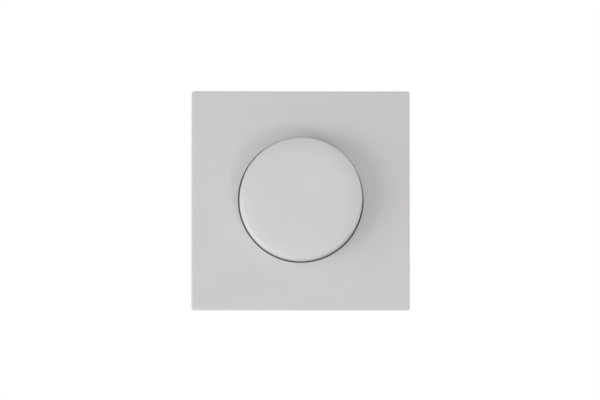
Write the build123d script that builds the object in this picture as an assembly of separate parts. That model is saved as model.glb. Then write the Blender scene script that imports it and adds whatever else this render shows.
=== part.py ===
from build123d import *

import os
from math import cos, radians, sin, sqrt, tan

# Rotary push dimmer for a flush wall box.
# Every piece is drawn lying on its back: X to the right, Y up the wall and Z out into the room,
# with the wall's surface at Z = 0. Each is stood up against the wall as it is written.

# Driving dimensions in millimetres and degrees

# Cover plate
plate_side = 80.0
plate_corner_r = 0.8
plate_depth = 9.0
plate_draft = 1.0
plate_face_t = 2.0
plate_skirt_t = 1.8
plate_edge_r = 0.4
well_floor_t = 2.0
well_wall_t = 1.6
well_edge_break = 0.25
rib_t = 1.0
rib_depth = 3.6
ribs_per_side = 2

# Knob
knob_d = 45.0
knob_gap = 0.4
knob_proud = 11.0
knob_draft = 0.5
knob_wall = 1.8
knob_roof = 2.2
crown_r = 20.0
crown_tilt = 15.0
edge_r = 1.3
knob_inner_break = 1.5
rim_break = 0.3
knob_ribs = 6
hub_d = 10.4
collet_slot = 1.0
collet_depth = 4.5
grip_t = 0.6
grip_w = 1.6
grip_sink = 0.4
grip_mouth = 60.0

# Shaft, bush and push travel
shaft_d = 6.0
shaft_flat = 1.5
shaft_overrun = 1.0
drive_d = 5.0
drive_flat = 1.6
shoulder_d = 8.0
shoulder_t = 1.0
push_travel = 1.5
bush_d = 10.0
bush_flange_d = 14.0
bush_tip = 1.5
nut_flats = 14.0
nut_t = 3.0
edge_break = 0.35

# Carrier plate
carrier_gap = 2.7
carrier_t = 1.5
carrier_corner_r = 4.0
box_screw_pitch = 60.0
box_slot_w = 4.0
box_slot_l = 7.0
fixing_screw_d = 2.5
fixing_head_d = 4.6
fixing_screw_l = 9.0
fixing_recess_w = 0.6
fixing_recess_l = 2.9

# Insert housing
housing_d = 54.0
housing_spare = 0.7
housing_h = 49.0
housing_wall = 1.6
housing_floor = 1.6
housing_corner_r = 2.0
housing_edge_break = 0.8
shelf_w = 1.0
post_d = 5.4
post_inset = 2.95
lid_t = 1.5
vent_w = 1.2
vent_l = 9.0
vent_count = 5
vent_pitch = 3.0

# Circuit board and potentiometer
board_t = 1.6
pot_d = 20.0
pot_wall = 1.3
track_t = 1.0
wiper_t = 0.35
wiper_w = 1.9
rotor_t = 1.7
stop_lug_half = 12.0
turn_half = 135.0
stop_spare = 1.0
stop_depth = 1.6
half_turn = 180.0

# Push switch
switch_side = 14.0
switch_corner_r = 1.0
switch_floor = 1.2
plunger_d = 8.0
plunger_t = 2.0
stem_d = 3.6
stem_l = 3.6
spring_wire = 0.6
spring_d = 6.6
spring_turns = 3
bridge_t = 0.4
contact_w = 1.2
contact_t = 0.5

# Parts on the board
terminal_ways = 3
terminal_pitch = 9.0
terminal_deep = 11.0
terminal_wall = 2.2
wire_r = 1.7
clamp_side = 6.0
clamp_wall = 1.1
terminal_screw_d = 3.0
terminal_head_d = 4.4
terminal_head_t = 1.8
terminal_slot_w = 0.7
clamp_thread = 3.0
terminal_corner_r = 0.6
heat_sink_w = 20.0
heat_sink_t = 1.5
heat_sink_flange = 6.0
heat_sink_bend = 1.0
transistor_w = 10.0
transistor_t = 4.4
transistor_h = 9.0
transistor_tab_t = 1.25
transistor_leg = 1.0
transistor_leg_w = 0.8
transistor_leg_t = 0.5
transistor_leg_pitch = 2.54
choke_d = 11.0
choke_bore = 5.6
choke_h = 6.2
choke_wire = 0.7
choke_turns = 16
film_cap_w = 10.0
film_cap_l = 14.0
film_cap_h = 9.5
film_cap_shift = 2.8
supply_cap_d = 6.3
supply_cap_h = 9.0
supply_groove_z = 1.5
supply_groove_w = 0.7
fuse_d = 8.4
fuse_h = 7.6
chip_w = 9.9
chip_l = 3.9
chip_h = 1.7
resistor_d = 2.4
resistor_l = 6.4
resistor_count = 3

# Clearances
running_fit = 0.05
slip_fit = 0.1
loose_fit = 0.3
stroke_spare = 0.5
inner_spare = 1.4
same_place = 1e-6

# Heights and places worked out from the sizes above

carrier_side = plate_side - 2 * (plate_skirt_t + carrier_gap)
well_r = knob_d / 2 + knob_gap
well_floor_top = carrier_t + well_floor_t
knob_rim = well_floor_top + push_travel + stroke_spare
knob_face = plate_depth + knob_proud
roof_under = knob_face - knob_roof
nut_top = well_floor_top + nut_t
bush_top = nut_top + bush_tip
hub_end = bush_top + push_travel + stroke_spare
grip_low = hub_end + (collet_depth - grip_w) / 2
grip_high = grip_low + grip_w
shaft_top = roof_under - slip_fit
pot_front = -lid_t
pot_inside = pot_front - pot_wall
shoulder_top = pot_inside - running_fit
shoulder_low = shoulder_top - shoulder_t
rotor_top = shoulder_low - push_travel - stroke_spare
rotor_low = rotor_top - rotor_t
track_top = rotor_low - wiper_t - slip_fit
pot_back = track_top - track_t
board_front = pot_back
board_back = board_front - board_t
shaft_end = board_back - shaft_overrun
plunger_low = shaft_end - plunger_t
stem_low = plunger_low - stem_l
bridge_low = stem_low - bridge_t
switch_inside = bridge_low - push_travel - stroke_spare
switch_end = switch_inside - switch_floor
housing_inside = switch_end - inner_spare
housing_end = housing_inside - housing_floor

rotor_d = pot_d - 2 * (pot_wall + stop_depth + 2 * loose_fit)
housing_w = switch_side + 2 * (loose_fit + choke_d + 2 * choke_wire + housing_spare + shelf_w + housing_wall)
terminal_w = terminal_ways * terminal_pitch
terminal_back = housing_end
terminal_front_y = -housing_h / 2
terminal_y = terminal_front_y + terminal_deep / 2
terminal_xs = [(i - (terminal_ways - 1) / 2) * terminal_pitch for i in range(terminal_ways)]
clamp_y = terminal_front_y + terminal_wall + slip_fit + clamp_side / 2
post_x = terminal_w / 2 + loose_fit + post_d / 2
post_y = sqrt((housing_d / 2 - post_inset) ** 2 - post_x ** 2)
posts = [(sx * post_x, sy * post_y) for sx in (-1, 1) for sy in (-1, 1)]
inside_inset = housing_wall + shelf_w + loose_fit
arc_reach = sqrt((housing_d / 2 - inside_inset) ** 2 - (heat_sink_w / 2) ** 2)
heat_sink_y = min(housing_h / 2 - inside_inset, arc_reach) - heat_sink_t

FOOT = (Align.CENTER, Align.CENTER, Align.MIN)


def disc(diameter, low, high, x=0.0, y=0.0):
    """An upright cylinder between two heights."""
    return Pos(x, y, low) * Cylinder(diameter / 2, high - low, align=FOOT)


def ring(outer_d, inner_d, low, high, x=0.0, y=0.0):
    """An upright tube between two heights."""
    return disc(outer_d, low, high, x, y) - disc(inner_d, low, high, x, y)


def block(width, length, low, high, x=0.0, y=0.0):
    """An upright box between two heights."""
    return Pos(x, y, low) * Box(width, length, high - low, align=FOOT)


def prism(outline, low, high):
    """A flat outline drawn up between two heights."""
    return extrude(Pos(0, 0, low) * outline, high - low)


def d_outline(diameter, flat):
    """A round shaft section with one flat, at that distance above its centre."""
    return Circle(diameter / 2) - Pos(0, flat + diameter / 2) * Rectangle(diameter, diameter)


def slice_outline(radius, middle, half):
    """A slice of a disc that reaches half an angle to each side of a middle one."""
    arc = CenterArc((0, 0), radius, middle - half, 2 * half)
    return make_face([*Polyline(arc @ 1, (0, 0), arc @ 0).edges(), arc])


def housing_outline(inset):
    """The insert's outline, a circle with four flats, drawn in by an inset."""
    return Circle(housing_d / 2 - inset) & Rectangle(housing_w - 2 * inset, housing_h - 2 * inset)


# Knob

def knob_side_r(height):
    """The knob's outside radius on its drafted side at a height."""
    return knob_d / 2 - (height - knob_rim) * tan(radians(knob_draft))


def knob_profile():
    """Half section of the knob's outside: flat face, gentle crown, tight edge and drafted side."""
    tilt, draft = radians(crown_tilt), radians(knob_draft)
    crown_drop = crown_r * (1 - cos(tilt))
    edge_low = knob_face - crown_drop - edge_r * (cos(tilt) - sin(draft))
    side_r = knob_side_r(edge_low)
    edge_start = side_r - edge_r * (cos(draft) - sin(tilt))
    flat_r = edge_start - crown_r * sin(tilt)
    half, middle = tilt / 2, (tilt + radians(90) - draft) / 2
    edge_centre = (edge_start - edge_r * sin(tilt), knob_face - crown_drop - edge_r * cos(tilt))
    crown_mid = (flat_r + crown_r * sin(half), knob_face - crown_r * (1 - cos(half)))
    edge_mid = (edge_centre[0] + edge_r * sin(middle), edge_centre[1] + edge_r * cos(middle))
    edge_top = (edge_start, knob_face - crown_drop)
    rim, foot, middle_top = (knob_d / 2, knob_rim), (0, knob_rim), (0, knob_face)
    line = Polyline((side_r, edge_low), rim, foot, middle_top, (flat_r, knob_face))
    crown = ThreePointArc((flat_r, knob_face), crown_mid, edge_top)
    edge = ThreePointArc(edge_top, edge_mid, (side_r, edge_low))
    return Plane.XZ * make_face([*line.edges(), crown, edge])


def knob_hollow():
    """The space under the knob's cap, bevelled under the roof."""
    space = disc(2 * (knob_side_r(roof_under) - knob_wall), knob_rim, roof_under)
    return chamfer(space.edges().sort_by(Axis.Z)[-1:], knob_inner_break)


def control_knob():
    """Moulded cap with a split hub, ribs under the roof and a bore with a flat."""
    cap = revolve(knob_profile(), Axis.Z)
    hollow = knob_hollow()
    web_l = knob_d / 2 - knob_wall / 2
    webs = [
        Rot(Z=i * 360 / knob_ribs) * block(web_l, rib_t, hub_end + collet_depth, knob_face, x=web_l / 2)
        for i in range(knob_ribs)
    ]
    hub = disc(hub_d, hub_end, knob_face)
    inside = hollow - hub - webs
    bore = prism(d_outline(shaft_d + 2 * running_fit, shaft_flat + running_fit), hub_end, roof_under)
    slot = block(hub_d, collet_slot, hub_end, hub_end + collet_depth)
    groove = ring(hub_d, hub_d - 2 * grip_sink, grip_low - running_fit, grip_high + running_fit)
    knob = cap - inside - bore - (slot & hub) - groove
    rim = knob.edges().filter_by(GeomType.CIRCLE).sort_by(Axis.Z)[:2].sort_by(SortBy.RADIUS)[-1:]
    return chamfer(rim, rim_break)


def knob_grip_ring():
    """Open spring band that squeezes the split hub onto the shaft."""
    inner_d = hub_d - 2 * (grip_sink - running_fit)
    band = ring(inner_d + 2 * grip_t, inner_d, grip_low, grip_high)
    return band - prism(slice_outline(hub_d, 90, grip_mouth / 2), grip_low, grip_high)


# Cover plate

def cover_plate():
    """Square plate with a skirt, a well for the knob, a clamped floor and ribs behind its face."""
    outline = RectangleRounded(plate_side, plate_side, plate_corner_r)
    shell = extrude(outline, plate_depth, taper=plate_draft)
    shell = fillet(shell.faces().sort_by(Axis.Z)[-1].edges(), plate_edge_r)
    hollow_side = plate_side - 2 * plate_skirt_t
    hollow = extrude(Rectangle(hollow_side, hollow_side), plate_depth - plate_face_t, taper=plate_draft)
    well_out = 2 * (well_r + well_wall_t)
    hollow -= disc(well_out, carrier_t, plate_depth)
    rib_low = plate_depth - plate_face_t - rib_depth
    for turn in range(4):
        for i in range(ribs_per_side):
            rib_y = well_r * (i + 1) / ribs_per_side
            for side in (-1, 1):
                rib = block(plate_side / 2, rib_t, rib_low, plate_depth, x=plate_side / 4, y=side * rib_y)
                hollow -= Rot(Z=90 * turn) * rib
    shell -= hollow
    shell -= disc(2 * well_r, well_floor_top, plate_depth)
    shell -= disc(bush_d + 2 * slip_fit, carrier_t, well_floor_top)
    circles = shell.edges().filter_by(GeomType.CIRCLE)
    mouth = [e for e in circles if abs(e.center().Z - plate_depth) < same_place]
    return chamfer([e for e in mouth if abs(e.radius - well_r) < same_place], well_edge_break)


def retaining_nut():
    """Hexagon nut on the bush, which clamps the cover plate to the carrier."""
    corner_r = nut_flats / 2 / cos(radians(30))
    body = prism(RegularPolygon(corner_r, 6), well_floor_top, nut_top)
    rounding = Pos(0, 0, well_floor_top) * Cone(corner_r + nut_t, corner_r - edge_break, nut_t, align=FOOT)
    return (body & rounding) - disc(bush_d + 2 * running_fit, well_floor_top, nut_top)


# Carrier

def fixing_screw(x, y):
    """Countersunk screw, its head flush with the carrier's front."""
    head_h = (fixing_head_d - fixing_screw_d) / 2
    head = Pos(x, y, carrier_t - head_h) * Cone(
        fixing_screw_d / 2, fixing_head_d / 2, head_h, align=FOOT
    )
    shank = disc(fixing_screw_d, carrier_t - fixing_screw_l, carrier_t - head_h, x, y)
    recess_low = carrier_t - fixing_recess_w
    recess = block(fixing_recess_l, fixing_recess_w, recess_low, carrier_t, x, y)
    recess += block(fixing_recess_w, fixing_recess_l, recess_low, carrier_t, x, y)
    return head + shank - recess


def fixing_screws():
    """The screws that hold the housing and its lid to the carrier."""
    return [fixing_screw(x, y) for x, y in posts]


def carrier_plate():
    """Steel plate with slots for the wall box's screws, a bush hole and countersunk holes."""
    outline = RectangleRounded(carrier_side, carrier_side, carrier_corner_r)
    outline -= Circle(bush_d / 2 + slip_fit)
    for turn in range(4):
        slot = Pos(box_screw_pitch / 2, 0) * SlotOverall(box_slot_l, box_slot_w)
        outline -= Rot(Z=90 * turn) * slot
        notch = Pos(carrier_side / 2, carrier_side / 4) * Rectangle(box_slot_w, box_slot_l)
        outline -= Rot(Z=90 * turn) * (notch + mirror(notch, Plane.XZ))
    plate = prism(outline, 0, carrier_t)
    head_h = (fixing_head_d - fixing_screw_d) / 2
    for x, y in posts:
        plate -= disc(fixing_screw_d + 2 * slip_fit, 0, carrier_t, x, y)
        plate -= Pos(x, y, carrier_t - head_h) * Cone(
            fixing_screw_d / 2 + slip_fit, fixing_head_d / 2 + slip_fit, head_h, align=FOOT
        )
    return plate


# Insert housing

def terminal_notch(spare):
    """The corner of the housing that the terminal block fills."""
    wide, deep = terminal_w + 2 * spare, terminal_deep + spare
    return block(wide, deep, housing_end, board_back + spare, y=terminal_y + spare / 2)


def housing_base():
    """Moulded cup with a board shelf, screw posts, vents and a notch for the terminals."""
    cup = prism(housing_outline(0), housing_end, 0)
    cup = fillet(cup.edges().filter_by(Axis.Z), housing_corner_r)
    cup = chamfer(cup.faces().sort_by(Axis.Z)[0].edges(), housing_edge_break)
    cup -= prism(housing_outline(housing_wall), board_back, 0)
    cup -= prism(housing_outline(housing_wall + shelf_w), housing_inside, board_back)
    columns = [disc(post_d, housing_inside, pot_front, x, y) for x, y in posts]
    cup += [column & prism(housing_outline(0), housing_end, 0) for column in columns]
    hole_d, hole_low = fixing_screw_d + 2 * running_fit, carrier_t - fixing_screw_l - stroke_spare
    cup -= [disc(hole_d, hole_low, 0, x, y) for x, y in posts]
    vent_xs = [(i - (vent_count - 1) / 2) * vent_pitch for i in range(vent_count)]
    vents = [block(vent_w, vent_l, housing_end, housing_inside, x, housing_h / 6) for x in vent_xs]
    return cup - vents - terminal_notch(slip_fit)


def housing_lid():
    """Insulating lid between the board and the carrier."""
    lid = prism(housing_outline(housing_wall + slip_fit), pot_front, 0)
    lid -= disc(bush_flange_d + 2 * slip_fit, pot_front, 0)
    lid -= [disc(fixing_screw_d + 2 * slip_fit, pot_front, 0, x, y) for x, y in posts]
    slot_l = heat_sink_flange + 2 * slip_fit
    lid -= block(
        heat_sink_w + 2 * slip_fit, slot_l, pot_front, 0, y=heat_sink_y + heat_sink_t - slot_l / 2 + slip_fit
    )
    return lid


# Circuit board

def circuit_board():
    """Board on the housing's shelf, cut round the posts, the heat sink and the shaft."""
    outline = housing_outline(housing_wall + loose_fit)
    outline -= Circle(shaft_d / 2 + loose_fit)
    outline -= [Pos(x, y) * Circle(post_d / 2 + loose_fit) for x, y in posts]
    top = housing_h / 2 - heat_sink_y + loose_fit
    outline -= Pos(0, housing_h / 2 - top / 2) * Rectangle(heat_sink_w + 2 * loose_fit, top)
    return prism(outline, board_back, board_front)


# Potentiometer

def potentiometer_case():
    """Round can with the stop for the rotor moulded inside its wall."""
    inner_d = pot_d - 2 * pot_wall
    can = disc(pot_d, pot_back, pot_front) - disc(inner_d, pot_back, pot_inside)
    can -= disc(bush_d + 2 * running_fit, pot_inside, pot_front)
    stop_half = half_turn - turn_half - stop_lug_half - stop_spare
    stop = prism(slice_outline((pot_d - pot_wall) / 2, 270, stop_half), rotor_low, pot_inside)
    return can + (stop - disc(inner_d - 2 * stop_depth, rotor_low, pot_inside))


def threaded_bush():
    """Flanged bush through the carrier, which guides the shaft and takes the nut."""
    bush = disc(bush_d, pot_inside, bush_top) + disc(bush_flange_d, pot_front, 0)
    bush = chamfer(bush.edges().sort_by(Axis.Z)[-1:], edge_break)
    return bush - disc(shaft_d + 2 * running_fit, pot_inside, bush_top)


def resistance_track():
    """Wafer that carries the resistance element and closes the can."""
    return ring(pot_d - 2 * (pot_wall + running_fit), drive_d + 2 * loose_fit, pot_back, track_top)


def rotor():
    """Disc that turns with the shaft, lets it slide through, and carries the stop lug."""
    lug_reach = pot_d / 2 - pot_wall - loose_fit
    hub = disc(rotor_d, rotor_low, rotor_top)
    hub += prism(slice_outline(lug_reach, 90, stop_lug_half), rotor_low, rotor_top)
    return hub - prism(d_outline(drive_d + 2 * slip_fit, drive_flat + slip_fit), rotor_low, rotor_top)


def wiper():
    """Springy brass bridge under the rotor, pressed on the track."""
    outline = Circle(rotor_d / 2) - Circle(rotor_d / 2 - wiper_w)
    outline &= Pos(0, rotor_d / 2) * Rectangle(rotor_d, rotor_d)
    return prism(outline, track_top + slip_fit, rotor_low)


def shaft():
    """Knob shaft with a flat for the hub, a stop shoulder and a flatted drive for the rotor."""
    upper = disc(shaft_d, shoulder_top, hub_end)
    upper += prism(d_outline(shaft_d, shaft_flat), hub_end, shaft_top)
    shoulder = disc(shoulder_d, shoulder_low, shoulder_top)
    drive = prism(d_outline(drive_d, drive_flat), shaft_end, shoulder_low)
    whole = upper + shoulder + drive
    return chamfer(whole.faces().sort_by(Axis.Z)[-1].edges(), edge_break)


# Push switch

def switch_case():
    """Square body under the board with a guide bore for the plunger."""
    case = block(switch_side, switch_side, switch_end, board_back)
    case = fillet(case.edges().filter_by(Axis.Z), switch_corner_r)
    case -= disc(plunger_d + 2 * slip_fit, switch_inside, board_back)
    slots = [fixed_contact(side, slip_fit) for side in (-1, 1)]
    return case - slots


def switch_plunger():
    """Sliding piece that the shaft pushes on, with a stem inside its spring."""
    return disc(plunger_d, plunger_low, shaft_end) + disc(stem_d, stem_low, plunger_low)


def contact_bridge():
    """Contact disc on the stem's end, which joins the two fixed contacts at the end of the stroke."""
    return disc(spring_d - 2 * (spring_wire + loose_fit), bridge_low, stem_low)


def fixed_contact(side, spare=0.0):
    """Strip bent from the board, down the case and up through its floor. A spare gives its slot."""
    outer, inner = switch_side / 2, contact_w / 2 + loose_fit
    low = switch_inside - switch_floor / 2 - contact_t / 2
    tip = bridge_low - push_travel - slip_fit
    bends = [(outer, board_back), (outer, low), (inner, low), (inner, tip)]
    turned = [(inner + contact_t, tip), (inner + contact_t, low + contact_t)]
    turned += [(outer - contact_t, low + contact_t), (outer - contact_t, board_back)]
    strip = Plane.XZ * offset(make_face(Polyline(*bends, *turned, close=True)), spare, kind=Kind.INTERSECTION)
    strip = extrude(strip, contact_w / 2 + spare, both=True)
    return strip if side > 0 else mirror(strip, Plane.YZ)


def fixed_contacts():
    """The pair of fixed contacts."""
    return [fixed_contact(side) for side in (-1, 1)]


def return_spring():
    """Square-wire compression spring that lifts the plunger, the shaft and the knob."""
    free = plunger_low - switch_inside - spring_wire
    coil = Pos(0, 0, switch_inside + spring_wire / 2) * Helix(
        pitch=free / spring_turns, height=free, radius=(spring_d - spring_wire) / 2
    )
    start = Plane(coil @ 0, x_dir=(1, 0, 0), z_dir=coil % 0)
    return sweep(start * Rectangle(spring_wire, spring_wire), coil, is_frenet=True)


# Parts on the board

def heat_sink():
    """Bent aluminium angle: a flange against the carrier and a wall that cools the transistor."""
    outer_y = heat_sink_y + heat_sink_t
    low = board_back - transistor_h
    points = [
        (outer_y - heat_sink_flange, 0),
        (outer_y, 0),
        (outer_y, low),
        (heat_sink_y, low),
        (heat_sink_y, -heat_sink_t),
        (outer_y - heat_sink_flange, -heat_sink_t),
    ]
    angle = extrude(Plane.YZ * make_face(Polyline(*points, close=True)), heat_sink_w / 2, both=True)
    bends = angle.edges().filter_by(Axis.X)
    angle = fillet(bends.sort_by_distance((0, outer_y, 0))[:1], heat_sink_bend + heat_sink_t)
    bends = angle.edges().filter_by(Axis.X)
    return fillet(bends.sort_by_distance((0, heat_sink_y, -heat_sink_t))[:1], heat_sink_bend)


def power_transistor():
    """Flat power package with its metal tab against the heat sink and three legs in the board."""
    low, high = board_back - transistor_h, board_back - transistor_leg
    tab = block(transistor_w, transistor_tab_t, low, high, y=heat_sink_y - transistor_tab_t / 2)
    body_t = transistor_t - transistor_tab_t
    body_y = heat_sink_y - transistor_tab_t - body_t / 2
    body = block(transistor_w, body_t, low + transistor_tab_t, high, y=body_y)
    body = chamfer(body.faces().sort_by(Axis.Y)[0].edges(), edge_break)
    legs = [
        block(transistor_leg_w, transistor_leg_t, high, board_back, x=i * transistor_leg_pitch, y=body_y)
        for i in (-1, 0, 1)
    ]
    return tab + body + legs


def choke_place():
    """Where the choke stands on the board: its middle and its two faces."""
    x = -(switch_side / 2 + loose_fit + choke_d / 2 + choke_wire)
    top = board_back - choke_wire - running_fit
    return x, top - choke_h, top


def choke_core():
    """Iron powder ring."""
    x, low, top = choke_place()
    return ring(choke_d, choke_bore, low, top, x)


def choke_winding():
    """Turns of enamelled wire round the ring, each a closed loop."""
    x, low, top = choke_place()
    wall = (choke_d - choke_bore) / 2
    middle = (choke_d + choke_bore) / 4
    wide, tall = wall + 2 * running_fit, top - low + 2 * running_fit
    loop = Rectangle(wide + 2 * choke_wire, tall + 2 * choke_wire) - Rectangle(wide, tall)
    turn = extrude(Plane.XZ * (Pos(middle, (top + low) / 2) * loop), choke_wire / 2, both=True)
    return [Pos(x, 0, 0) * Rot(Z=i * 360 / choke_turns) * turn for i in range(choke_turns)]


def suppressor_capacitor():
    """Boxed film capacitor."""
    x = switch_side / 2 + loose_fit + film_cap_w / 2
    box = block(film_cap_w, film_cap_l, board_back - film_cap_h, board_back, x=x, y=-film_cap_shift)
    return chamfer(box.edges().filter_by(Axis.Z), edge_break)


def supply_capacitor():
    """Upright electrolytic can with the usual groove near its base."""
    x = -(switch_side / 2 + loose_fit + supply_cap_d)
    y = choke_d / 2 + choke_wire + 2 * loose_fit + supply_cap_d / 2
    can = disc(supply_cap_d, board_back - supply_cap_h, board_back, x, y)
    groove_low = board_back - supply_groove_z
    groove_d = supply_cap_d - 2 * edge_break
    return can - ring(supply_cap_d, groove_d, groove_low, groove_low + supply_groove_w, x, y)


def micro_fuse():
    """Round plug-in fuse."""
    x = switch_side / 2 + loose_fit + fuse_d / 2
    y = film_cap_l / 2 - film_cap_shift + 2 * loose_fit + fuse_d / 2
    body = disc(fuse_d, board_back - fuse_h, board_back, x, y)
    return chamfer(body.edges().sort_by(Axis.Z)[:1], edge_break)


def control_chip():
    """Small control chip on the board's front."""
    y = pot_d / 2 + 2 * loose_fit + chip_l / 2
    body = block(chip_w, chip_l, board_front, board_front + chip_h, y=y)
    return chamfer(body.faces().sort_by(Axis.Z)[-1].edges(), edge_break)


def resistors():
    """Axial resistors beside the potentiometer."""
    x = pot_d / 2 + 4 * loose_fit + resistor_d / 2
    pitch = resistor_l + 4 * loose_fit
    places = [(i - (resistor_count - 1) / 2) * pitch for i in range(resistor_count)]
    return [
        Pos(x, y, board_front + resistor_d / 2) * Rot(X=90) * Cylinder(resistor_d / 2, resistor_l)
        for y in places
    ]


# Terminals

def clamp_span():
    """Heights of the wire bore's middle and of each clamp's two ends."""
    head_low = terminal_back + terminal_head_t + stroke_spare
    wire_z = head_low + clamp_wall + clamp_thread + wire_r
    return head_low, wire_z, wire_z + wire_r + clamp_wall + loose_fit


def terminal_block():
    """Moulded block with a wire hole, a clamp chamber and a screw hole for each way."""
    low, wire_z, high = clamp_span()
    body = block(terminal_w, terminal_deep, terminal_back, board_back, y=terminal_y)
    body = fillet(body.edges().filter_by(Axis.Z).group_by(Axis.Y)[0], terminal_corner_r)
    chamber_side = clamp_side + 2 * slip_fit
    for x in terminal_xs:
        body -= Pos(x, terminal_front_y, wire_z) * Rot(X=-90) * Cylinder(wire_r, terminal_wall, align=FOOT)
        body -= block(chamber_side, chamber_side, low, high + slip_fit, x, clamp_y)
        body -= disc(terminal_head_d + 2 * slip_fit, terminal_back, low, x, clamp_y)
    return body


def terminal_clamp(x):
    """Brass cage with a wire opening and a threaded wall for its screw."""
    low, _, high = clamp_span()
    cage = block(clamp_side, clamp_side, low, high, x, clamp_y)
    cage -= block(clamp_side - 2 * clamp_wall, clamp_side, low + clamp_wall, high - clamp_wall, x, clamp_y)
    return cage - disc(terminal_screw_d + 2 * running_fit, low, low + clamp_wall, x, clamp_y)


def terminal_screw(x):
    """Slotted clamp screw, its head below the block's back."""
    low, wire_z, _ = clamp_span()
    head_low = low - terminal_head_t
    screw = disc(terminal_head_d, head_low, low, x, clamp_y)
    screw += disc(terminal_screw_d, low, wire_z - wire_r - slip_fit, x, clamp_y)
    return screw - block(terminal_head_d, terminal_slot_w, head_low, head_low + terminal_slot_w, x, clamp_y)


def terminal_clamps():
    """The brass cages, one for each way."""
    return [terminal_clamp(x) for x in terminal_xs]


def terminal_screws():
    """The clamp screws, one for each way."""
    return [terminal_screw(x) for x in terminal_xs]


PIECES = [
    control_knob,
    knob_grip_ring,
    shaft,
    cover_plate,
    retaining_nut,
    carrier_plate,
    fixing_screws,
    housing_base,
    housing_lid,
    circuit_board,
    potentiometer_case,
    threaded_bush,
    resistance_track,
    rotor,
    wiper,
    switch_case,
    switch_plunger,
    contact_bridge,
    fixed_contacts,
    return_spring,
    heat_sink,
    power_transistor,
    choke_core,
    choke_winding,
    suppressor_capacitor,
    supply_capacitor,
    micro_fuse,
    control_chip,
    resistors,
    terminal_block,
    terminal_clamps,
    terminal_screws,
]


def stand_up(made):
    """Turns a piece, or a group of like pieces, from lying on its back to standing on the wall."""
    solids = made if isinstance(made, list) else [made]
    return Compound([s for made_solid in solids for s in (Rot(X=90) * made_solid).solids()])


os.makedirs("parts", exist_ok=True)
for piece in PIECES:
    export_step(stand_up(piece()), f"parts/{piece.__name__}.step")
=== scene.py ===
import logging
import math
from dataclasses import dataclass, field
from enum import Enum
from typing import Any, Mapping, Optional, Sequence, Union

import bmesh
import bpy
from mathutils import Matrix, Vector


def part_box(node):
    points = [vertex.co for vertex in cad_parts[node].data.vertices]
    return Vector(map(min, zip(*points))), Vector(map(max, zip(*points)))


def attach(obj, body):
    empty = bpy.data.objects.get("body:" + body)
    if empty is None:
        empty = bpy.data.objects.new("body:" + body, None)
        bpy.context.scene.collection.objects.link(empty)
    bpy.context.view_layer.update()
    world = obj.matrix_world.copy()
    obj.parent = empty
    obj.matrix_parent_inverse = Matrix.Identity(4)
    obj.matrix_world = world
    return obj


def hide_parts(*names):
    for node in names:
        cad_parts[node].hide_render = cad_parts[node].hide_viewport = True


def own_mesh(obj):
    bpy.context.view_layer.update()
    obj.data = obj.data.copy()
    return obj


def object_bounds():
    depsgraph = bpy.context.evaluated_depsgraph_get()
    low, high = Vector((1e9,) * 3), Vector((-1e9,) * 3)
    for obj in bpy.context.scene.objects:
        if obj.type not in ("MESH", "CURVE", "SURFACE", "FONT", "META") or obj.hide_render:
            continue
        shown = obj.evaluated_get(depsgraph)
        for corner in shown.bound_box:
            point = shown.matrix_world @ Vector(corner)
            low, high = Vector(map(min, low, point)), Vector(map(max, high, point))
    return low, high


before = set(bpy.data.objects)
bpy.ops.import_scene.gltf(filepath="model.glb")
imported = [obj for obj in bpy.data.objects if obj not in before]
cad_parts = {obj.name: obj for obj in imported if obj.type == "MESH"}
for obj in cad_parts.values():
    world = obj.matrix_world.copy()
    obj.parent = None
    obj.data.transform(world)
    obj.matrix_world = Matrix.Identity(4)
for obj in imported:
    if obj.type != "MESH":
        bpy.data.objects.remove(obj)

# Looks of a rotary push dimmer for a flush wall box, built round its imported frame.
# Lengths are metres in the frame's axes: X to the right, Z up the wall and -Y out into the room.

CAD_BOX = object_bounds()
MM = 0.001
AXIS = Vector((0, 1, 0))
QUARTER_TURN = math.radians(90)

log = logging.getLogger("dimmer")

Colour = tuple[float, float, float]
Span = tuple[float, float]
Point = tuple[float, float]
Given = Union["Value", float, Sequence[float]]

BLACK: Colour = (0.0, 0.0, 0.0)
WHITE: Colour = (1.0, 1.0, 1.0)


class Body(Enum):
    """The bodies of the frame that new pieces ride on."""

    BASE = "base"
    KNOB = "knob"


class Lay(Enum):
    """The way that the fine lines run on a drawn or brushed metal."""

    ALONG_X = (0.02, 1.0, 1.0)
    ALONG_Y = (1.0, 0.02, 1.0)
    ALONG_Z = (1.0, 1.0, 0.02)
    NONE = (1.0, 1.0, 1.0)


# Shader nodes

# Places of the sockets that a Mix node uses for colours
MIX_SHARE, MIX_FIRST, MIX_SECOND, MIX_RESULT = 0, 6, 7, 2

# The level that a noise varies around
NOISE_MIDDLE = 0.5


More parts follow.
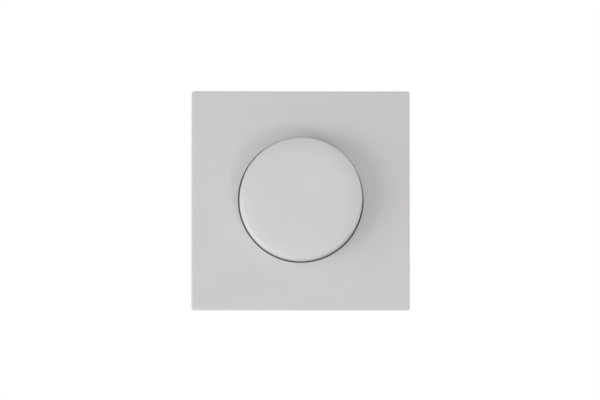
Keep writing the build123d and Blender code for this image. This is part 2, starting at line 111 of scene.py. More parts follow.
class Value:
    """A shader value that varies over a surface. Its operators add Math nodes."""

    def __init__(self, shader: "Shader", socket: bpy.types.NodeSocket) -> None:
        """Keeps the socket and the shader that it belongs to.

        Args:
            shader: the shader whose tree holds the socket.
            socket: the output that gives the value.
        """
        self.shader = shader
        self.socket = socket

    def _math(self, operation: str, first: Given, second: Given) -> "Value":
        """Adds one Math node.

        Args:
            operation: the node's operation.
            first: its first value.
            second: its second value.

        Returns:
            The node's result.
        """
        return self.shader.node("ShaderNodeMath", {"operation": operation}, {0: first, 1: second})

    def __add__(self, other: Given) -> "Value":
        """This value plus another."""
        return self._math("ADD", self, other)

    def __radd__(self, other: Given) -> "Value":
        """Another value plus this one."""
        return self._math("ADD", other, self)

    def __sub__(self, other: Given) -> "Value":
        """This value less another."""
        return self._math("SUBTRACT", self, other)

    def __rsub__(self, other: Given) -> "Value":
        """Another value less this one."""
        return self._math("SUBTRACT", other, self)

    def __mul__(self, other: Given) -> "Value":
        """This value times another."""
        return self._math("MULTIPLY", self, other)

    def __rmul__(self, other: Given) -> "Value":
        """Another value times this one."""
        return self._math("MULTIPLY", other, self)

    def larger(self, other: Given) -> "Value":
        """The larger of this value and another."""
        return self._math("MAXIMUM", self, other)


class Shader:
    """A node tree in the making, for a material or for the world."""

    def __init__(self, owner: Union[bpy.types.Material, bpy.types.World]) -> None:
        """Starts an empty tree.

        Args:
            owner: the material or world that gets the nodes.
        """
        self.owner = owner
        owner.use_nodes = True
        self.tree = owner.node_tree
        self.tree.nodes.clear()

    def _add(
        self, kind: str, settings: Mapping[str, Any], inputs: Mapping[Union[int, str], Given]
    ) -> bpy.types.Node:
        """Adds a node, sets it, and then fills its sockets.

        Args:
            kind: the node's type.
            settings: its own settings.
            inputs: a value or a link for each socket, by name or place.

        Returns:
            The node.
        """
        made = self.tree.nodes.new(kind)
        for key, setting in settings.items():
            setattr(made, key, setting)
        for key, given in inputs.items():
            if isinstance(given, Value):
                self.tree.links.new(given.socket, made.inputs[key])
            else:
                made.inputs[key].default_value = given
        return made

    def node(
        self,
        kind: str,
        settings: Optional[Mapping[str, Any]] = None,
        inputs: Optional[Mapping[Union[int, str], Given]] = None,
        output: Union[int, str] = 0,
    ) -> Value:
        """Adds a node and gives one of its outputs.

        Args:
            kind: the node's type.
            settings: its own settings, which are set first.
            inputs: a value or a link for each socket, by name or place.
            output: the output that is wanted.

        Returns:
            That output.
        """
        return Value(self, self._add(kind, settings or {}, inputs or {}).outputs[output])

    def coords(self, stretch: Sequence[float] = (1.0, 1.0, 1.0)) -> Value:
        """Object coordinates, stretched where a pattern runs one way.

        Args:
            stretch: the scale along each axis.

        Returns:
            The coordinates.
        """
        place = self.node("ShaderNodeTexCoord", output="Object")
        return self.node("ShaderNodeMapping", {}, {"Vector": place, "Scale": stretch})

    def noise(
        self, size: float, detail: float = 2.0, stretch: Sequence[float] = (1.0, 1.0, 1.0)
    ) -> Value:
        """Soft noise on Object coordinates.

        Args:
            size: the width of one blot.
            detail: how many finer layers it has.
            stretch: the scale along each axis.

        Returns:
            A value around one half.
        """
        settings = {"noise_dimensions": "3D"}
        inputs = {"Vector": self.coords(stretch), "Scale": 1.0 / size, "Detail": detail}
        return self.node("ShaderNodeTexNoise", settings, inputs, "Fac")

    def ramp(self, value: Value, span: Span) -> Value:
        """Spreads a narrow range of a value over nought to one.

        Args:
            value: the value.
            span: what becomes nought and what becomes one.

        Returns:
            The spread value.
        """
        settings = {"interpolation_type": "SMOOTHSTEP"}
        inputs = {"Value": value, "From Min": span[0], "From Max": span[1]}
        return self.node("ShaderNodeMapRange", settings, inputs)

    def mix(self, share: Given, first: Given, second: Given) -> Value:
        """Mixes two colours.

        Args:
            share: how much of the second there is.
            first: the first colour.
            second: the second colour.

        Returns:
            The mixed colour.
        """
        colours = [c if isinstance(c, Value) else (*c, 1.0) for c in (first, second)]
        inputs = {MIX_SHARE: share, MIX_FIRST: colours[0], MIX_SECOND: colours[1]}
        return self.node("ShaderNodeMix", {"data_type": "RGBA"}, inputs, MIX_RESULT)

    def bump(self, height: Value, depth: float) -> Value:
        """A normal that follows a height of nought to one, over a relief of that depth."""
        return self.node("ShaderNodeBump", {}, {"Height": height, "Distance": depth})

    def blend(self, share: Value, first: Value, second: Value) -> Value:
        """Mixes two shaders, with that share of the second."""
        return self.node("ShaderNodeMixShader", {}, {0: share, 1: first, 2: second})

    def principled(self, inputs: Mapping[str, Given]) -> Value:
        """A Principled shader with those sockets filled."""
        return self.node("ShaderNodeBsdfPrincipled", {}, inputs)

    def close(self, shader: Value) -> Union[bpy.types.Material, bpy.types.World]:
        """Links a shader to the tree's output.

        Args:
            shader: the finished shader.

        Returns:
            The material or world that has the tree.
        """
        kind = "World" if isinstance(self.owner, bpy.types.World) else "Material"
        self._add(f"ShaderNodeOutput{kind}", {}, {"Surface": shader})
        return self.owner


# Kinds of finish


@dataclass(frozen=True)
class Moulding:
    """Moulded plastic with a fine spark-eroded grain."""

    name: str
    colour: Colour
    roughness: float = 0.5
    rough_span: float = 0.1
    grain: float = 0.18 * MM
    relief: float = 0.004 * MM
    mottle: float = 0.03
    cloud: float = 14 * MM
    cloud_share: float = 0.7
    cloud_span: Span = (0.3, 0.7)
    coat: float = 0.0

    def material(self) -> bpy.types.Material:
        """Makes the material.

        Returns:
            The material.
        """
        shader = Shader(bpy.data.materials.new(self.name))
        cloud = shader.noise(self.cloud, detail=3.0)
        grain = shader.noise(self.grain)
        patches = self.cloud_share * cloud + (1 - self.cloud_share) * grain
        darker = tuple(c * (1 - self.mottle) for c in self.colour)
        lighter = tuple(c * (1 + self.mottle) for c in self.colour)
        inputs = {
            "Base Color": shader.mix(shader.ramp(patches, self.cloud_span), darker, lighter),
            "Roughness": self.roughness - self.rough_span / 2 + self.rough_span * grain,
            "Normal": shader.bump(grain, self.relief),
            "Coat Weight": self.coat,
        }
        return shader.close(shader.principled(inputs))


@dataclass(frozen=True)
class Metal:
    """Bare or plated metal with fine lines, stains and handling marks."""

    name: str
    colour: Colour
    stain: Colour
    roughness: float = 0.32
    lay: Lay = Lay.ALONG_X
    line: float = 0.3 * MM
    spangle: float = 5 * MM
    relief: float = 0.004 * MM
    line_span: Span = (0.3, 0.7)
    blot_span: Span = (0.35, 0.75)
    mark_span: Span = (0.58, 0.75)
    line_stain: float = 0.45
    blot_stain: float = 0.25
    mark_stain: float = 0.15
    line_rough: float = 0.18
    blot_rough: float = 0.14
    mark_rough: float = 0.1

    def material(self) -> bpy.types.Material:
        """Makes the material.

        Returns:
            The material.
        """
        shader = Shader(bpy.data.materials.new(self.name))
        lines = shader.noise(self.line, detail=3.0, stretch=self.lay.value)
        blots = shader.noise(self.spangle, detail=4.0)
        marks = shader.ramp(shader.noise(self.spangle / 3, detail=5.0), self.mark_span)
        stained = (
            self.blot_stain * shader.ramp(blots, self.blot_span)
            + self.line_stain * shader.ramp(lines, self.line_span)
            + self.mark_stain * marks
        )
        rough = (
            self.roughness
            + self.line_rough * (lines - NOISE_MIDDLE)
            + self.blot_rough * (blots - NOISE_MIDDLE)
            + self.mark_rough * marks
        )
        inputs = {
            "Base Color": shader.mix(stained, self.colour, self.stain),
            "Metallic": 1.0,
            "Roughness": rough,
            "Normal": shader.bump(lines, self.relief),
        }
        return shader.close(shader.principled(inputs))


@dataclass(frozen=True)
class Laminate:
    """Lacquered board with copper tracks showing through."""

    name: str
    colour: Colour
    track: Colour
    pitch: float = 3.2 * MM
    width: float = 0.16
    roughness: float = 0.3
    shade: float = 0.8
    cloud: float = 4 * MM
    weave: float = 0.3 * MM
    weave_rough: float = 0.15
    weave_height: float = 0.2
    relief: float = 0.02 * MM
    coat: float = 0.4

    def material(self) -> bpy.types.Material:
        """Makes the material.

        Returns:
            The material.
        """
        shader = Shader(bpy.data.materials.new(self.name))
        tracks = self._tracks(shader)
        cloud, weave = shader.noise(self.cloud, detail=3.0), shader.noise(self.weave)
        dark = tuple(c * self.shade for c in self.colour)
        height = (1 - self.weave_height) * tracks + self.weave_height * weave
        inputs = {
            "Base Color": shader.mix(tracks, shader.mix(cloud, dark, self.colour), self.track),
            "Roughness": self.roughness + self.weave_rough * weave,
            "Normal": shader.bump(height, self.relief),
            "Coat Weight": self.coat,
        }
        return shader.close(shader.principled(inputs))

    def _tracks(self, shader: Shader) -> Value:
        """Draws the tracks as the joints of a brick pattern on the board's face.

        Args:
            shader: the board's shader.

        Returns:
            One on a track and nought between the tracks.
        """
        turn = (QUARTER_TURN, 0.0, 0.0)
        turned = shader.node(
            "ShaderNodeMapping", {}, {"Vector": shader.coords(), "Rotation": turn}
        )
        settings = {"offset": 0.37, "squash": 1.6, "squash_frequency": 3}
        inputs = {
            "Vector": turned,
            "Scale": 1.0 / self.pitch,
            "Mortar Size": self.width / 2,
            "Mortar Smooth": 0.1,
            "Brick Width": 2.4,
            "Row Height": 0.8,
        }
        return shader.node("ShaderNodeTexBrick", settings, inputs, "Fac")


Finish = Union[Moulding, Metal, Laminate]

# Mesh making

# Points that are nearer than this are one point
SEAM = 1e-7
CORNER_SEGMENTS = 8


class Form:
    """A mesh in the making, shaped with bmesh operators."""

    def __init__(self) -> None:
        """Starts an empty mesh."""
        self.bm = bmesh.new()

    def start(self, radius: float, y: float) -> bmesh.types.BMVert:
        """Puts down the first point of an outline, in the half plane that is spun."""
        return self.bm.verts.new((radius, y, 0.0))

    def line(self, tip: bmesh.types.BMVert, points: Sequence[Point]) -> bmesh.types.BMVert:
        """Draws an outline on through points.

        Args:
            tip: the outline's last point.
            points: the distance from the axis and the place along it, for each new point.

        Returns:
            The new last point.
        """
        for radius, y in points:
            tip = bmesh.ops.extrude_vert_indiv(self.bm, verts=[tip])["verts"][0]
            tip.co = (radius, y, 0.0)
        return tip

    def arc(
        self, tip: bmesh.types.BMVert, centre: Point, angle: float, steps: int
    ) -> bmesh.types.BMVert:
        """Draws an outline on round an arc.

        Args:
            tip: the outline's last point.
            centre: the arc's centre, as a radius and a place along the axis.
            angle: how far it turns, anticlockwise, in radians.
            steps: its number of segments.

        Returns:
            The new last point.
        """
        made = bmesh.ops.spin(
            self.bm,
            geom=[tip],
            cent=(*centre, 0.0),
            axis=(0, 0, 1),
            angle=angle,
            steps=steps,
            use_merge=False,
        )
        return [part for part in made["geom_last"] if isinstance(part, bmesh.types.BMVert)][0]

    def spin(
        self, geom: Sequence[Any], steps: int, angle: float = math.tau, climb: float = 0.0
    ) -> None:
        """Turns an outline or a face about the knob's axis.

        Args:
            geom: what is turned.
            steps: the number of segments.
            angle: how far it is turned.
            climb: how far it moves along the axis on the way.
        """
        bmesh.ops.spin(
            self.bm,
            geom=list(geom),
            cent=(0, 0, 0),
            axis=AXIS,
            dvec=AXIS * climb / steps,
            angle=angle,
            steps=steps,
            use_merge=math.isclose(angle, math.tau) and not climb,
        )

    def circle(
        self, radius: float, y: float, steps: int, turn: float = 0.0
    ) -> list[bmesh.types.BMEdge]:
        """Adds a ring of edges round the knob's axis.

        Args:
            radius: its radius.
            y: its place along the axis.
            steps: its number of edges.
            turn: how far its first point is turned.

        Returns:
            Its edges.
        """
        place = Matrix.Translation((0, y, 0)) @ Matrix.Rotation(QUARTER_TURN, 4, "X")
        place = place @ Matrix.Rotation(turn, 4, "Z")
        made = bmesh.ops.create_circle(self.bm, segments=steps, radius=radius, matrix=place)
        return list({edge for vert in made["verts"] for edge in vert.link_edges})

    def square(self, half: float, y: float, corner_r: float) -> list[bmesh.types.BMEdge]:
        """Adds a ring of edges with four rounded corners round the knob's axis.

        Args:
            half: half its side.
            y: its place along the axis.
            corner_r: the radius of its corners.

        Returns:
            Its edges.
        """
        before = set(self.bm.edges)
        sides = self.circle(half * math.sqrt(2), y, 4, QUARTER_TURN / 2)
        corners = list({vert for edge in sides for vert in edge.verts})
        bmesh.ops.bevel(
            self.bm,
            geom=corners,
            offset=corner_r,
            segments=CORNER_SEGMENTS,
            profile=0.5,
            affect="VERTICES",
            material=-1,
        )
        return [edge for edge in self.bm.edges if edge not in before]

    def block(self, low: Sequence[float], high: Sequence[float], turn: float = 0.0) -> None:
        """Adds a box between two corners, turned about the knob's axis.

        Args:
            low: its lowest corner.
            high: its highest corner.
            turn: how far it is turned.
        """
        low, high = Vector(low), Vector(high)
        place = Matrix.Translation((low + high) / 2) @ Matrix.Diagonal((*(high - low), 1.0))
        turned = Matrix.Rotation(turn, 4, AXIS) @ place
        bmesh.ops.create_cube(self.bm, size=1.0, matrix=turned)

    def round_edges(
        self, edges: Sequence[bmesh.types.BMEdge], size: float, segments: int
    ) -> None:
        """Rounds edges by a bevel of that size."""
        bmesh.ops.bevel(
            self.bm,
            geom=list(edges),
            offset=size,
            offset_type="OFFSET",
            segments=segments,
            profile=0.5,
            affect="EDGES",
            material=-1,
            clamp_overlap=True,
        )

    def merge(self) -> None:
        """Closes seams and poles and points the faces outwards."""
        bmesh.ops.remove_doubles(self.bm, verts=self.bm.verts[:], dist=SEAM)
        bmesh.ops.recalc_face_normals(self.bm, faces=self.bm.faces[:])

    def to_object(self, name: str, smooth_angle: float = 32.0) -> bpy.types.Object:
        """Makes the finished object, which sits at the origin.

        Args:
            name: the piece's name.
            smooth_angle: the steepest bend, in degrees, that still shades smooth.

        Returns:
            The object.
        """
        mesh = bpy.data.meshes.new(name)
        self.bm.to_mesh(mesh)
        self.bm.free()
        mesh.shade_smooth()
        mesh.set_sharp_from_angle(angle=math.radians(smooth_angle))
        made = bpy.data.objects.new(name, mesh)
        bpy.context.scene.collection.objects.link(made)
        weighted = made.modifiers.new("even shading", "WEIGHTED_NORMAL")
        weighted.keep_sharp = True
        return made


def place_piece(
    made: bpy.types.Object, finish: Finish, body: Body, node: str
) -> bpy.types.Object:
    """Dresses a new piece, sets it on its body and hides the solid that it stands for.

    Args:
        made: the new piece.
        finish: its finish.
        body: the body that it moves with.
        node: the CAD node that it stands for.

    Returns:
        The piece.
    """
    made.data.materials.append(finish.material())
    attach(made, body.value)
    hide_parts(node)
    log.info("%s stands for %s", made.name, node)
    return made


# Pieces that are drawn anew


@dataclass
class ControlKnob:
    """The turned cap: flat face, gentle crown, tight edge, drafted side and a split hub."""

    finish: Moulding
    crown_r: float = 20.0 * MM
    crown_tilt: float = math.radians(15.0)
    edge_r: float = 1.3 * MM
    draft: float = math.radians(0.5)
    rim_r: float = 0.3 * MM
    wall: float = 1.8 * MM
    roof: float = 2.2 * MM
    inner_break: float = 1.5 * MM
    hub_r: float = 5.2 * MM
    bore_r: float = 3.05 * MM
    bore_flat: float = 1.55 * MM
    hub_end: float = -10.0 * MM
    collet_top: float = -14.5 * MM
    collet_slot: float = 1.0 * MM
    groove_sink: float = 0.4 * MM
    groove_half: float = 0.85 * MM
    ribs: int = 6
    rib_t: float = 1.0 * MM
    steps: int = 192
    crown_steps: int = 10
    edge_steps: int = 18
    rim_steps: int = 5
    jaw_steps: int = 40

    def build(self) -> bpy.types.Object:
        """Builds the knob.

        Returns:
            The finished piece.
        """
        low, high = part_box("control_knob")
        face, rim, radius = low.y, high.y, high.x
        form = Form()
        self._cap(form, face, rim, radius)
        self._jaws(form)
        self._ribs(form, face + self.roof, radius - self.wall)
        made = form.to_object("knob_cap")
        return place_piece(made, self.finish, Body.KNOB, "control_knob")

    def _cap(self, form: Form, face: float, rim: float, radius: float) -> None:
        """Spins the cap with its unsplit upper hub.

        Args:
            form: the mesh in the making.
            face: the front face's place along the axis.
            rim: the rim's place along the axis.
            radius: the radius at the rim.
        """
        edge_turn = QUARTER_TURN - self.crown_tilt - self.draft
        drop = self.crown_r * (1 - math.cos(self.crown_tilt))
        edge_y = face + drop + self.edge_r * (math.cos(self.crown_tilt) - math.sin(self.draft))
        side_r = radius - (rim - edge_y) * math.tan(self.draft)
        edge_centre = (
            side_r - self.edge_r * math.cos(self.draft),
            face + drop + self.edge_r * math.cos(self.crown_tilt),
        )
        flat_r = edge_centre[0] + (self.edge_r - self.crown_r) * math.sin(self.crown_tilt)
        rim_centre = (radius - self.rim_r, rim - self.rim_r)
        under, inner = face + self.roof, side_r - self.wall
        tip = form.line(form.start(0.0, face), [(flat_r, face)])
        tip = form.arc(tip, (flat_r, face + self.crown_r), self.crown_tilt, self.crown_steps)
        tip = form.arc(tip, edge_centre, edge_turn, self.edge_steps)
        tip = form.line(tip, [(radius, rim - self.rim_r)])
        tip = form.arc(tip, rim_centre, QUARTER_TURN, self.rim_steps)
        inside = [
            (inner, rim),
            (inner, under + self.inner_break),
            (inner - self.inner_break, under),
            (self.hub_r, under),
            (self.hub_r, self.collet_top),
            (self.bore_r, self.collet_top),
            (self.bore_r, under),
            (0.0, under),
        ]
        form.line(tip, inside)
        form.spin([*form.bm.verts, *form.bm.edges], self.steps)
        form.merge()

    def _jaws(self, form: Form) -> None:
        """Adds the two jaws of the split hub, with the groove for the grip ring.

        Args:
            form: the mesh in the making.
        """
        groove = (self.hub_end + self.collet_top) / 2
        above, below = groove - self.groove_half, groove + self.groove_half
        sunk_r = self.hub_r - self.groove_sink
        points = [
            (self.hub_r, self.collet_top),
            (self.hub_r, above),
            (sunk_r, above),
            (sunk_r, below),
            (self.hub_r, below),
            (self.hub_r, self.hub_end),
            (self.bore_r, self.hub_end),
        ]
        half_slot = math.asin(self.collet_slot / 2 / self.bore_r)
        for side in (0.0, math.pi):
            before = set(form.bm.verts)
            form.line(form.start(self.bore_r, self.collet_top), points)
            section = [vert for vert in form.bm.verts if vert not in before]
            outline = list({edge for vert in section for edge in vert.link_edges})
            face = bmesh.ops.contextual_create(form.bm, geom=[*section, *outline])["faces"]
            turned = Matrix.Rotation(side + half_slot, 3, AXIS)
            bmesh.ops.rotate(form.bm, cent=(0, 0, 0), matrix=turned, verts=section)
            geom = [*section, *face[0].edges, *face]
            form.spin(geom, self.jaw_steps, math.pi - 2 * half_slot)
            jaw = [f for f in form.bm.faces if any(v not in before for v in f.verts)]
            bmesh.ops.recalc_face_normals(form.bm, faces=jaw)

    def _ribs(self, form: Form, under: float, reach: float) -> None:
        """Adds the ribs under the roof and the flat in the bore.

        Args:
            form: the mesh in the making.
            under: the roof's underside.
            reach: how far out the ribs go.
        """
        half = self.rib_t / 2
        low, high = (self.hub_r - half, under, -half), (reach - half, self.collet_top, half)
        for i in range(self.ribs):
            form.block(low, high, i * math.tau / self.ribs)
        flat_half = math.sqrt(self.bore_r**2 - self.bore_flat**2)
        low, high = (-flat_half, under, self.bore_flat), (flat_half, self.hub_end, self.bore_r)
        form.block(low, high)


@dataclass
class CoverPlate:
    """The square plate: drafted skirt, rounded front edge, the knob's well and inner ribs."""

    finish: Moulding
    draft: float = math.radians(1.0)
    corner_r: float = 0.8 * MM
    inner_corner_r: float = 0.3 * MM
    edge_r: float = 0.4 * MM
    mouth_r: float = 0.25 * MM
    foot_r: float = 0.15 * MM
    face_t: float = 2.0 * MM
    skirt_t: float = 1.8 * MM
    well_r: float = 22.9 * MM
    well_wall: float = 1.6 * MM
    well_floor: float = -3.5 * MM
    well_under: float = -1.5 * MM
    hole_r: float = 5.1 * MM
    rib_t: float = 1.0 * MM
    rib_depth: float = 3.6 * MM
    margin: float = 0.0005 * MM
    steps: int = 192
    edge_segments: int = 6
    mouth_segments: int = 4
    foot_segments: int = 3

    def build(self) -> bpy.types.Object:
        """Builds the plate.

        Returns:
            The finished piece.
        """
        low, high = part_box("cover_plate")
        front, half = low.y, high.x - self.margin
        form = Form()
        self._skin(form, front, half)
        self._ribs(form, front + self.face_t, half - self.skirt_t / 2)
        made = form.to_object("plate_cover")
        return place_piece(made, self.finish, Body.BASE, "cover_plate")

    def _skin(self, form: Form, front: float, half: float) -> None:
        """Draws the plate as rings, bridges them into one closed skin and rounds its edges.

        Args:
            form: the mesh in the making.
            front: the face's place along the axis.
            half: half the plate's side at its back.
        """
        under, slope = front + self.face_t, math.tan(self.draft)
        well_out, inner = self.well_r + self.well_wall, half - self.skirt_t
        foot = form.square(half, 0.0, self.corner_r)
        inner_foot = form.square(inner, 0.0, self.inner_corner_r)
        inner_top = form.square(inner + under * slope, under, self.inner_corner_r)
        face_edge = form.square(half + front * slope, front, self.corner_r)
        mouth = form.circle(self.well_r, front, self.steps)
        well = [
            (well_out, under),
            (well_out, self.well_under),
            (self.hole_r, self.well_under),
            (self.hole_r, self.well_floor),
            (self.well_r, self.well_floor),
        ]
        rings = [foot, inner_foot, inner_top]
        rings += [form.circle(radius, y, self.steps) for radius, y in well]
        rings += [mouth, face_edge]
        for first, second in zip(rings, rings[1:] + rings[:1]):
            bmesh.ops.bridge_loops(form.bm, edges=first + second)
        form.merge()
        form.round_edges(face_edge, self.edge_r, self.edge_segments)
        form.round_edges(mouth, self.mouth_r, self.mouth_segments)
        form.round_edges(foot + inner_foot, self.foot_r, self.foot_segments)

    def _ribs(self, form: Form, under: float, reach: float) -> None:
        """Adds two ribs to each half side, from the well's wall to the skirt.

        Args:
            form: the mesh in the making.
            under: the underside of the plate's face.
            reach: how far out the ribs go.
        """
        half, well_middle = self.rib_t / 2, self.well_r + self.well_wall / 2
        for side in range(4):
            for place in (self.well_r / 2, self.well_r):
                start = math.sqrt(well_middle**2 - place**2)
                for z in (-place, place):
                    low = (start, under - self.face_t / 4, z - half)
                    high = (reach, under + self.rib_depth, z + half)
                    form.block(low, high, side * QUARTER_TURN)


@dataclass
class ReturnSpring:
    """The round-wire coil under the plunger, built at one length; the real coil shortens as the
    knob is pressed.
    """

    finish: Metal
    wire_r: float = 0.3 * MM
    turns: int = 3
    steps_per_turn: int = 40
    wire_steps: int = 14
    stroke: float = 1.5 * MM

    def build(self) -> bpy.types.Object:
        """Builds the spring.

        Returns:
            The finished piece.
        """
        low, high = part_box("return_spring")
        length = high.y - low.y
        form = Form()
        place = Matrix.Translation((high.x - self.wire_r, low.y + self.wire_r, 0))
        made = bmesh.ops.create_circle(
            form.bm, cap_ends=True, segments=self.wire_steps, radius=self.wire_r, matrix=place
        )
        geom = [*made["verts"], *form.bm.edges, *form.bm.faces]
        steps = self.turns * self.steps_per_turn
        form.spin(geom, steps, self.turns * math.tau, length - 2 * self.wire_r)
        form.merge()
        coil = form.to_object("plunger_spring")
        place_piece(coil, self.finish, Body.BASE, "return_spring")
        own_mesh(coil)
        return coil


# Finishes of the new pieces and of the solids that are kept

PLATE_GREY: Colour = (0.602, 0.59, 0.595)
KNOB_GREY: Colour = (0.615, 0.603, 0.608)

PLATE_FINISH = Moulding("plate_plastic", PLATE_GREY, roughness=0.5, mottle=0.012)
KNOB_FINISH = Moulding("knob_plastic", KNOB_GREY, roughness=0.4, mottle=0.012)
SHAFT_FINISH = Moulding("shaft_plastic", (0.75, 0.74, 0.7), roughness=0.45)
HOUSING_FINISH = Moulding(
    "housing_plastic", (0.2, 0.205, 0.21), roughness=0.55, relief=0.01 * MM, mottle=0.08
)
TERMINAL_FINISH = Moulding("terminal_plastic", (0.42, 0.43, 0.44), mottle=0.05)
BLACK_FINISH = Moulding("black_plastic", (0.03, 0.03, 0.032), roughness=0.45, mottle=0.2)
WHITE_FINISH = Moulding("white_plastic", (0.8, 0.79, 0.76), roughness=0.42)
CORE_FINISH = Moulding(
    "core_coating", (0.7, 0.6, 0.12), roughness=0.35, relief=0.01 * MM, mottle=0.08
)
FILM_BOX_FINISH = Moulding(
    "capacitor_box", (0.75, 0.55, 0.08), roughness=0.3, mottle=0.05, coat=0.3
)
SLEEVE_FINISH = Moulding(
    "capacitor_sleeve", (0.03, 0.04, 0.1), roughness=0.28, mottle=0.15, coat=0.4
)
FUSE_FINISH = Moulding("fuse_plastic", (0.35, 0.06, 0.04), roughness=0.3, mottle=0.08, coat=0.3)
LACQUER_FINISH = Moulding(
    "resistor_lacquer", (0.62, 0.5, 0.36), roughness=0.35, mottle=0.06, coat=0.3
)
SPRING_FINISH = Metal("spring_steel", (0.55, 0.55, 0.56), (0.4, 0.4, 0.41), lay=Lay.NONE)
ZINC_FINISH = Metal("zinc_steel", (0.6, 0.61, 0.6), (0.34, 0.35, 0.36), roughness=0.36)
SCREW_FINISH = Metal(
    "screw_steel", (0.66, 0.66, 0.64), (0.5, 0.48, 0.42), lay=Lay.NONE, line=0.08 * MM
)
NUT_FINISH = Metal(
    "nut_metal", (0.66, 0.64, 0.6), (0.5, 0.48, 0.44), roughness=0.26, lay=Lay.ALONG_Y
)
BRASS_FINISH = Metal("contact_brass", (0.72, 0.53, 0.25), (0.5, 0.34, 0.15), lay=Lay.ALONG_Z)
SINK_FINISH = Metal("sink_aluminium", (0.75, 0.75, 0.76), (0.6, 0.6, 0.62), roughness=0.34)
COPPER_FINISH = Metal(
    "copper_wire", (0.6, 0.28, 0.14), (0.42, 0.17, 0.08), roughness=0.25, lay=Lay.NONE
)
BOARD_FINISH = Laminate("board_laminate", (0.05, 0.2, 0.1), (0.12, 0.34, 0.17))
TRACK_FINISH = Laminate(
    "track_laminate", (0.3, 0.19, 0.11), (0.05, 0.05, 0.05), pitch=6 * MM, roughness=0.45
)


# Solids of the frame


@dataclass
class EasedSolid:
    """A twin of a solid of the frame, with its sharp edges eased so that they catch the light."""

    node: str
    name: str
    finish: Finish
    ease: float
    segments: int = 2
    sharp: float = math.radians(35.0)
    flat: float = math.radians(0.3)
    joined: float = 0.002 * MM

    def build(self) -> bpy.types.Object:
        """Builds the twin.

        Returns:
            The finished piece.
        """
        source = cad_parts[self.node]
        form = Form()
        bm = form.bm
        bm.from_mesh(source.data)
        bmesh.ops.transform(bm, matrix=source.matrix_world, verts=bm.verts[:])
        bmesh.ops.remove_doubles(bm, verts=bm.verts[:], dist=self.joined)
        bmesh.ops.dissolve_limit(
            bm, angle_limit=self.flat, verts=bm.verts[:], edges=bm.edges[:], delimit=set()
        )
        folds = [e for e in bm.edges if e.is_manifold and abs(e.calc_face_angle(0.0)) > self.sharp]
        form.round_edges(folds, self.ease, self.segments)
        made = form.to_object(self.name)
        return place_piece(made, self.finish, Body.BASE, self.node)


EASED: Sequence[EasedSolid] = (
    EasedSolid("carrier_plate", "carrier_sheet", ZINC_FINISH, 0.12 * MM),
    EasedSolid("housing_base", "housing_tub", HOUSING_FINISH, 0.25 * MM),
    EasedSolid("terminal_block", "terminal_body", TERMINAL_FINISH, 0.2 * MM),
    EasedSolid("terminal_screws", "clamp_screws", SCREW_FINISH, 0.08 * MM),
)


@dataclass
class Insert:
    """The solids of the frame that keep their own shape, each with its finish."""

    finishes: Mapping[str, Finish] = field(
        default_factory=lambda: {
            "knob_grip_ring": SPRING_FINISH,
            "shaft": SHAFT_FINISH,
            "retaining_nut": NUT_FINISH,
            "fixing_screws": SCREW_FINISH,
            "housing_lid": HOUSING_FINISH,
            "circuit_board": BOARD_FINISH,
            "potentiometer_case": BLACK_FINISH,
            "threaded_bush": NUT_FINISH,
            "resistance_track": TRACK_FINISH,
            "rotor": WHITE_FINISH,
            "wiper": BRASS_FINISH,
            "switch_case": BLACK_FINISH,
            "switch_plunger": WHITE_FINISH,
            "contact_bridge": BRASS_FINISH,
            "fixed_contacts": BRASS_FINISH,
            "heat_sink": SINK_FINISH,
            "power_transistor": BLACK_FINISH,
            "choke_core": CORE_FINISH,
            "choke_winding": COPPER_FINISH,
            "suppressor_capacitor": FILM_BOX_FINISH,
            "supply_capacitor": SLEEVE_FINISH,
            "micro_fuse": FUSE_FINISH,
            "control_chip": BLACK_FINISH,
            "resistors": LACQUER_FINISH,
            "terminal_clamps": BRASS_FINISH,
        }
    )

    def dress(self) -> None:
        """Gives every kept solid its material, made once for each finish."""
        made: dict[str, bpy.types.Material] = {}
        for node, finish in self.finishes.items():
            if finish.name not in made:
                made[finish.name] = finish.material()
            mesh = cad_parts[node].data
            mesh.materials.clear()
            mesh.materials.append(made[finish.name])
            log.info("%s is dressed in %s", node, finish.name)


# Studio


def aim(
    data: Union[bpy.types.Light, bpy.types.Camera],
    target: Vector,
    azimuth: float,
    elevation: float,
    distance: float,
) -> bpy.types.Object:
    """Sets up a lamp or a camera so that it faces a point.

    Args:
        data: the lamp or the camera.
        target: the point that it faces.
        azimuth: degrees to the right of straight ahead.
        elevation: degrees above level.
        distance: how far from the point it stands.

    Returns:
        The object, with its data's name.
    """
    a, e = math.radians(azimuth), math.radians(elevation)
    away = Vector((math.sin(a) * math.cos(e), -math.cos(a) * math.cos(e), math.sin(e)))
    made = bpy.data.objects.new(data.name, data)
    made.location = target + away * distance
    made.rotation_euler = away.to_track_quat("Z", "Y").to_euler()
    bpy.context.scene.collection.objects.link(made)
    return made


@dataclass(frozen=True)
class Lamp:
    """A square soft lamp that faces the plate."""

    name: str
    azimuth: float
    elevation: float
    distance: float
    size: float
    power: float

    def build(self, target: Vector) -> None:
        """Hangs the lamp.

        Args:
            target: the point that it faces.
        """
        light = bpy.data.lights.new(self.name, "AREA")
        light.shape = "SQUARE"
        light.size = self.size
        light.energy = self.power
        made = aim(light, target, self.azimuth, self.elevation, self.distance)
        made.visible_camera = False


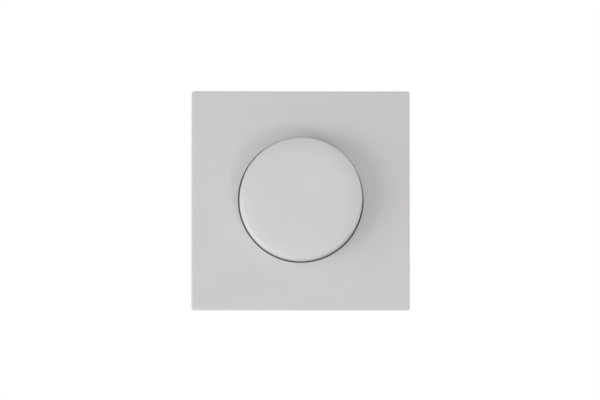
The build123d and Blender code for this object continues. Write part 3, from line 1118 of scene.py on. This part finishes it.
@dataclass
class Studio:
    """The camera, the lamps, the pale floor and the white surroundings."""

    lamps: Sequence[Lamp] = (
        Lamp("key_lamp", -42.0, -15.0, 0.8, 0.4, 1.75),
        Lamp("left_lamp", -65.0, 0.0, 0.8, 0.4, 0.9),
        Lamp("front_lamp", 0.0, 0.0, 1.4, 0.8, 2.6),
        Lamp("low_left_lamp", -86.0, -42.0, 0.45, 0.24, 0.8),
        Lamp("low_right_lamp", 20.0, -25.0, 0.5, 0.12, 0.3),
        Lamp("high_right_lamp", 86.0, 42.0, 0.45, 0.24, 0.55),
        Lamp("back_lamp", 165.0, 30.0, 1.2, 1.2, 2.6),
    )
    camera_azimuth: float = -0.8
    camera_elevation: float = -3.3
    camera_distance: float = 3.0
    camera_near: float = 0.01
    lens: float = 492.3
    aim_x: float = -0.27 * MM
    aim_z: float = 0.02 * MM
    floor_z: float = -0.32
    floor_half: float = 3.0
    floor_glow: float = 0.66
    paper_dark: Colour = (0.78, 0.78, 0.78)
    paper_light: Colour = (0.82, 0.82, 0.82)
    paper_grain: float = 2 * MM
    paper_rough: float = 0.9
    ambient: float = 0.4

    def build(self) -> None:
        """Sets up the whole studio."""
        plate_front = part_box("cover_plate")[0].y
        self._camera(Vector((self.aim_x, plate_front, self.aim_z)))
        for lamp in self.lamps:
            lamp.build(Vector((0, CAD_BOX[0].y, 0)))
        self._floor()
        self._world()
        bpy.context.scene.view_settings.view_transform = "Standard"
        log.info("studio has %d lamps", len(self.lamps))

    def _camera(self, target: Vector) -> None:
        """Sets the camera at the photograph's angle.

        Args:
            target: the point in the middle of the picture.
        """
        data = bpy.data.cameras.new("camera")
        data.lens = self.lens
        data.clip_start = self.camera_near
        bpy.context.scene.camera = aim(
            data, target, self.camera_azimuth, self.camera_elevation, self.camera_distance
        )

    @staticmethod
    def _showing(shader: Shader) -> Value:
        """Finds the rays that show the surroundings: straight, mirrored or through glass.

        Args:
            shader: the floor's or the world's shader.

        Returns:
            One for such a ray, and nought for a ray that only lights.
        """
        camera, glossy, through = (
            shader.node("ShaderNodeLightPath", output=f"Is {kind} Ray")
            for kind in ("Camera", "Glossy", "Transmission")
        )
        return camera.larger(glossy).larger(through)

    def _floor(self) -> None:
        """Lays a pale floor that looks white, keeps the shadow and is clear from below."""
        bm = bmesh.new()
        place = Matrix.Translation((0, 0, self.floor_z))
        bmesh.ops.create_grid(bm, x_segments=1, y_segments=1, size=self.floor_half, matrix=place)
        mesh = bpy.data.meshes.new("floor")
        bm.to_mesh(mesh)
        bm.free()
        floor = bpy.data.objects.new("floor", mesh)
        shader = Shader(bpy.data.materials.new("floor_paper"))
        grain = shader.noise(self.paper_grain)
        paper = shader.principled(
            {
                "Base Color": shader.mix(grain, self.paper_dark, self.paper_light),
                "Roughness": self.paper_rough,
                "Emission Color": shader.mix(self._showing(shader), BLACK, WHITE),
                "Emission Strength": self.floor_glow,
            }
        )
        below = shader.node("ShaderNodeNewGeometry", output="Backfacing")
        clear = shader.node("ShaderNodeBsdfTransparent")
        mesh.materials.append(shader.close(shader.blend(below, paper, clear)))
        bpy.context.scene.collection.objects.link(floor)

    def _world(self) -> None:
        """Makes surroundings that look white and light the plate softly."""
        shader = Shader(bpy.data.worlds.new("surroundings"))
        soft, white = (
            shader.node("ShaderNodeBackground", {}, {"Color": (*WHITE, 1.0), "Strength": level})
            for level in (self.ambient, 1.0)
        )
        bpy.context.scene.world = shader.close(shader.blend(self._showing(shader), soft, white))


def main() -> None:
    """Builds the pieces and the studio."""
    logging.basicConfig(level=logging.INFO, format="%(name)s: %(message)s")
    CoverPlate(PLATE_FINISH).build()
    ControlKnob(KNOB_FINISH).build()
    ReturnSpring(SPRING_FINISH).build()
    for twin in EASED:
        twin.build()
    Insert().dress()
    Studio().build()


if __name__ == "__main__":
    main()
